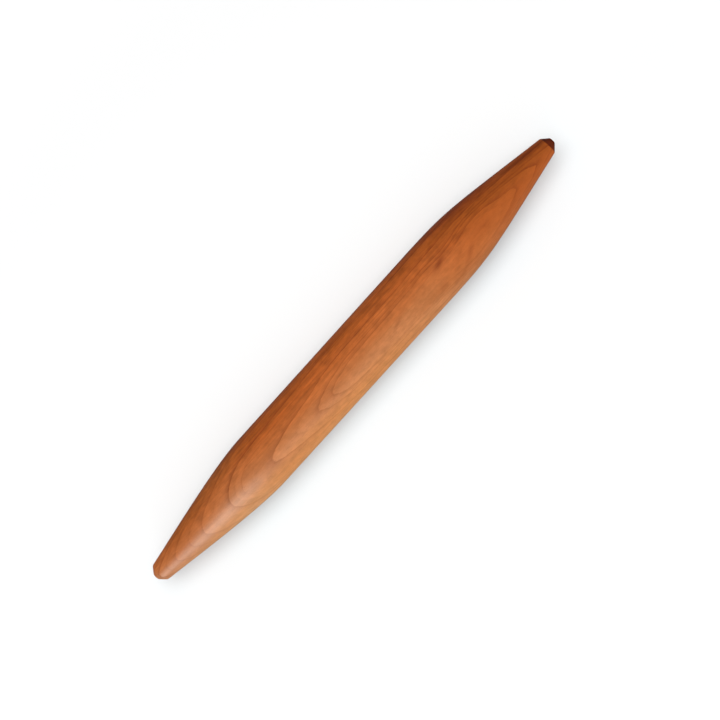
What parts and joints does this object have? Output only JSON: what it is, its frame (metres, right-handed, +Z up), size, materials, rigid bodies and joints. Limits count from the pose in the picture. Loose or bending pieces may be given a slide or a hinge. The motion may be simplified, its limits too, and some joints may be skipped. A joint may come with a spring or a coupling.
{
  "type": "rolling pin",
  "caption": "Tapered solid wooden rolling pin without handles: a straight round barrel that flows into a long slim taper at each end, with chamfered tips.",
  "frame": {"origin": "on the surface that the pin lies on, under the middle of its length and under its axis", "axes": "+X along the pin's axis towards the end with the longer taper, +Z up from the table, +Y across the pin"},
  "size_m": [0.47, 0.0504, 0.0504],
  "materials": {
    "cherry": "satin"
  },
  "bodies": {
    "root": {"turned_pin": "cherry"}
  },
  "joints": []
}
